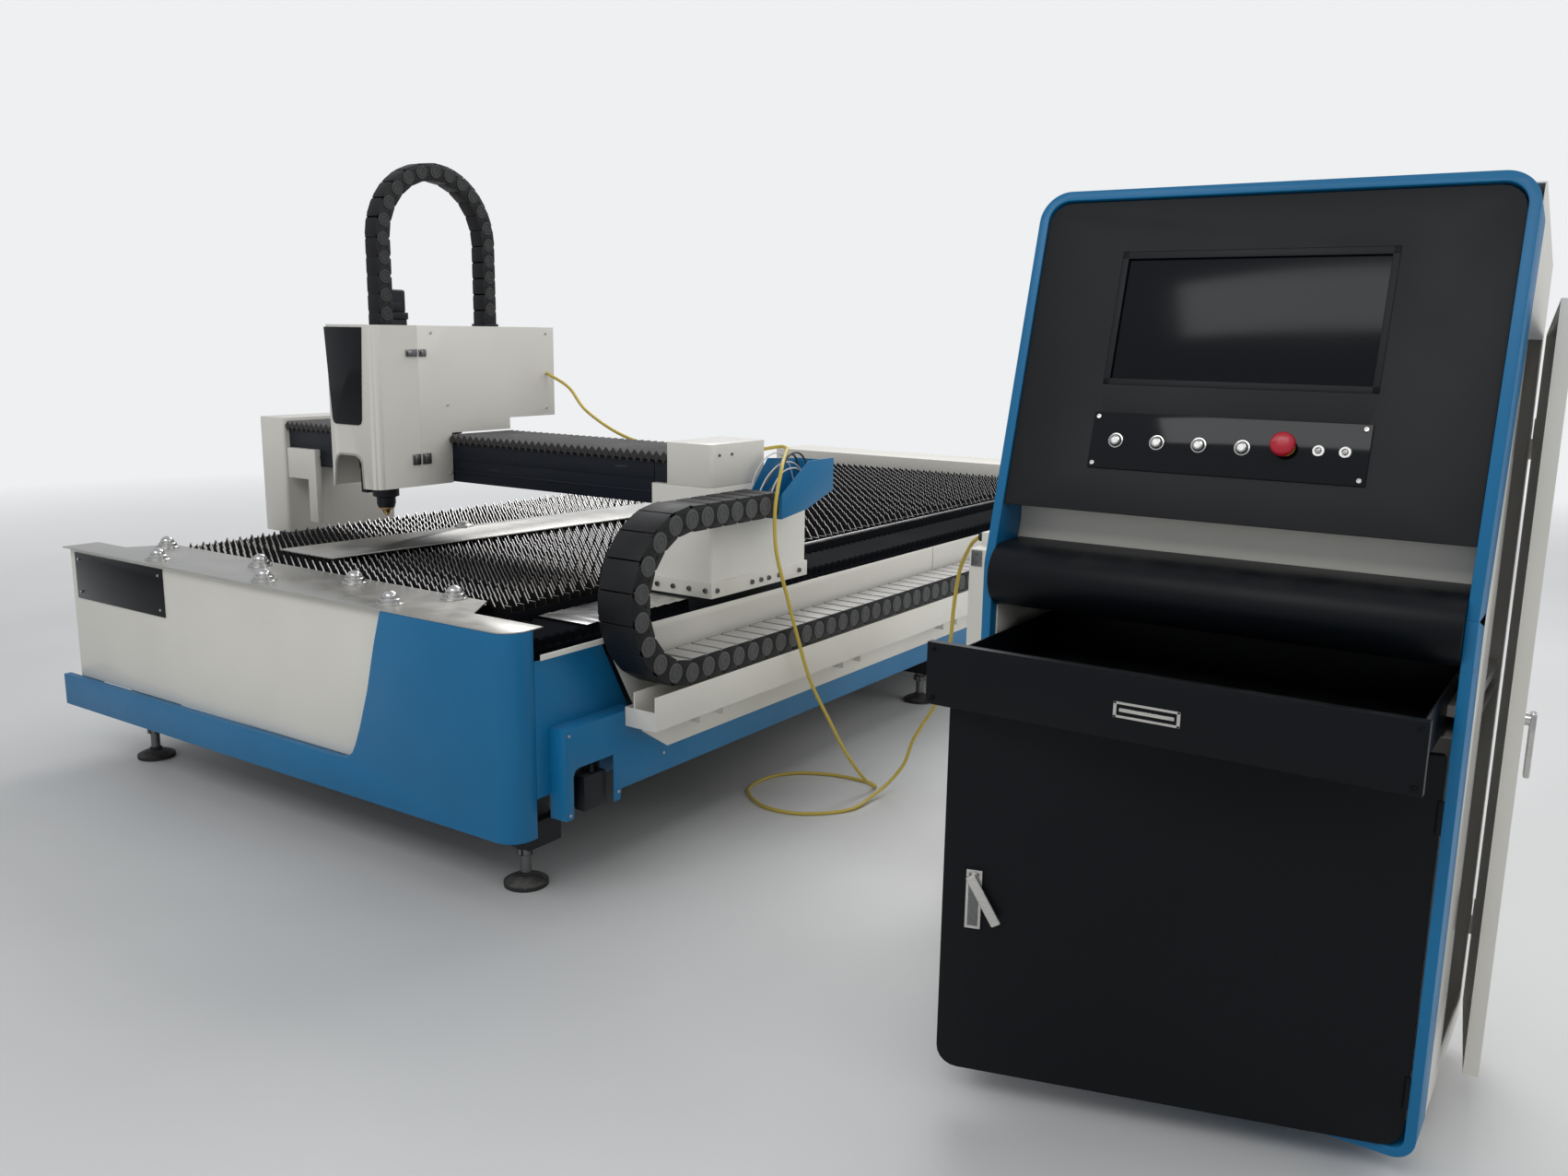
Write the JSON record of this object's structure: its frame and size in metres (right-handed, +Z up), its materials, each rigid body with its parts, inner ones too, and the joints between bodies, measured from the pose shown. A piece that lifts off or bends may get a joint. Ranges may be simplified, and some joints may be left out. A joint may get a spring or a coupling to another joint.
{
  "type": "fiber laser cutting machine",
  "caption": "Gantry laser cutter for sheet metal: a toothed slat table, a sliding head under a looped cable chain, a leaning control console and a laser source cabinet.",
  "frame": {"origin": "middle of the front right foot's underside, on the floor", "axes": "+X to the right seen from the loading end, +Y along the bed away from the loading end, +Z up"},
  "size_m": [4.2791, 4.549, 1.985],
  "materials": {
    "cream_paint": "satin powder coat",
    "blue_paint": "satin powder coat",
    "frame_black": "satin black paint",
    "console_black": "matte black paint",
    "gloss_black": "glossy",
    "stainless": "brushed",
    "slat_steel": "dull mill finish",
    "bellows_black": "coated pleated cloth",
    "chain_plastic": "matte moulded plastic",
    "stop_red": "satin",
    "chrome_latch": "satin chrome",
    "cable_yellow": "smooth jacket"
  },
  "bodies": {
    "bed": {"bed_frame": "frame_black", "front_panel": "cream_paint", "front_shell": "blue_paint", "nameplate": "gloss_black", "front_plate": "stainless", "side_panel_blue": "blue_paint", "side_panel_white": "cream_paint", "side_skirt": "blue_paint", "cable_trough": "cream_paint", "left_side_panel": "cream_paint", "left_skirt": "blue_paint", "rear_cover": "cream_paint", "slat_grid": "slat_steel", "table_strip": "stainless", "slag_tray": "slat_steel", "rail_right": "stainless", "rail_left": "stainless", "bellows_right_front": "bellows_black", "bellows_right_rear": "bellows_black", "bellows_left_front": "bellows_black", "bellows_left_rear": "bellows_black", "side_chain_lower": "chain_plastic", "console_band": "blue_paint", "console_shell": "cream_paint", "console_fascia": "console_black", "console_screen": "gloss_black", "button_plate": "gloss_black", "console_shelf": "console_black", "laser_source": "cream_paint", "fibre_cable": "cable_yellow"},
    "gantry": {"gantry_beam": "frame_black", "beam_cover_left": "bellows_black", "beam_cover_right": "bellows_black", "end_box_right": "cream_paint", "end_box_left": "cream_paint", "end_foot_right": "cream_paint", "end_bracket_left": "cream_paint", "foot_guard_right": "frame_black", "foot_guard_left": "frame_black", "chain_tray": "blue_paint", "side_chain_upper": "chain_plastic", "fibre_cable_upper": "cable_yellow"},
    "chain_loop": {"side_chain_bend": "chain_plastic"},
    "carriage": {"carriage_plate": "slat_steel", "head_housing": "cream_paint", "z_motor": "frame_black", "head_chain": "chain_plastic"},
    "cover": {"head_cover": "cream_paint", "head_window": "gloss_black"},
    "head": {"cutting_head": "slat_steel"},
    "drawer": {"drawer": "console_black"},
    "front_door": {"front_door": "console_black"},
    "front_latch": {"front_latch_handle": "chrome_latch"},
    "side_door": {"side_door": "cream_paint"},
    "side_latch": {"side_latch_handle": "chrome_latch"},
    "button_1": {"push_button_1": "stainless"},
    "button_2": {"push_button_2": "stainless"},
    "button_3": {"push_button_3": "stainless"},
    "button_4": {"push_button_4": "stainless"},
    "stop_button": {"e_stop": "stop_red"}
  },
  "joints": [
    {"name": "gantry_slide", "type": "slide", "parent": "bed", "child": "gantry", "axis": [0, 1, 0], "range_m": [-0.3, 2.75], "deforming": ["bellows_right_front", "bellows_right_rear", "bellows_left_front", "bellows_left_rear", "side_chain_lower", "side_chain_upper", "fibre_cable"]},
    {"name": "chain_loop_slide", "type": "slide", "parent": "gantry", "child": "chain_loop", "axis": [0, 1, 0], "range_m": [-1.375, 0.15]},
    {"name": "carriage_slide", "type": "slide", "parent": "gantry", "child": "carriage", "axis": [1, 0, 0], "range_m": [-0.45, 0.8], "deforming": ["beam_cover_left", "beam_cover_right", "fibre_cable_upper"]},
    {"name": "head_cover_hinge", "type": "hinge", "parent": "carriage", "child": "cover", "pos_m": [-0.9285, 0.485, 0.965], "axis": [0, 0, 1], "range_deg": [0, 100]},
    {"name": "z_slide", "type": "slide", "parent": "carriage", "child": "head", "axis": [0, 0, 1], "range_m": [-0.07, 0.025]},
    {"name": "drawer_slide", "type": "slide", "parent": "bed", "child": "drawer", "axis": [0, 1, 0], "range_m": [-0.05, 0.27]},
    {"name": "front_door_hinge", "type": "hinge", "parent": "bed", "child": "front_door", "pos_m": [2.168, -0.0045, 0.071], "axis": [0, 0, 1], "range_deg": [-16.5, 100]},
    {"name": "front_latch_hinge", "type": "hinge", "parent": "front_door", "child": "front_latch", "pos_m": [1.43, -0.2382, 0.468], "axis": [0.284, -0.9588, 0], "range_deg": [-30, 45]},
    {"name": "side_door_hinge", "type": "hinge", "parent": "bed", "child": "side_door", "pos_m": [2.195, 0.5945, 0.1], "axis": [0, 0, 1], "range_deg": [-7, 95]},
    {"name": "side_latch_hinge", "type": "hinge", "parent": "side_door", "child": "side_latch", "pos_m": [2.2517, 0.3199, 0.8], "axis": [0.9925, 0.1219, 0], "range_deg": [0, 90]},
    {"name": "push_button_1_slide", "type": "slide", "parent": "bed", "child": "button_1", "axis": [0, 0.9627, -0.2706], "range_m": [0, 0.003], "stiffness_N_per_m": 600},
    {"name": "push_button_2_slide", "type": "slide", "parent": "bed", "child": "button_2", "axis": [0, 0.9627, -0.2706], "range_m": [0, 0.003], "stiffness_N_per_m": 600},
    {"name": "push_button_3_slide", "type": "slide", "parent": "bed", "child": "button_3", "axis": [0, 0.9627, -0.2706], "range_m": [0, 0.003], "stiffness_N_per_m": 600},
    {"name": "push_button_4_slide", "type": "slide", "parent": "bed", "child": "button_4", "axis": [0, 0.9627, -0.2706], "range_m": [0, 0.003], "stiffness_N_per_m": 600},
    {"name": "e_stop_slide", "type": "slide", "parent": "bed", "child": "stop_button", "axis": [0, 0.9627, -0.2706], "range_m": [0, 0.006], "stiffness_N_per_m": 1500}
  ],
  "couplings": [
    {"joint": "chain_loop_slide", "follows": "gantry_slide", "ratio": -0.5}
  ]
}
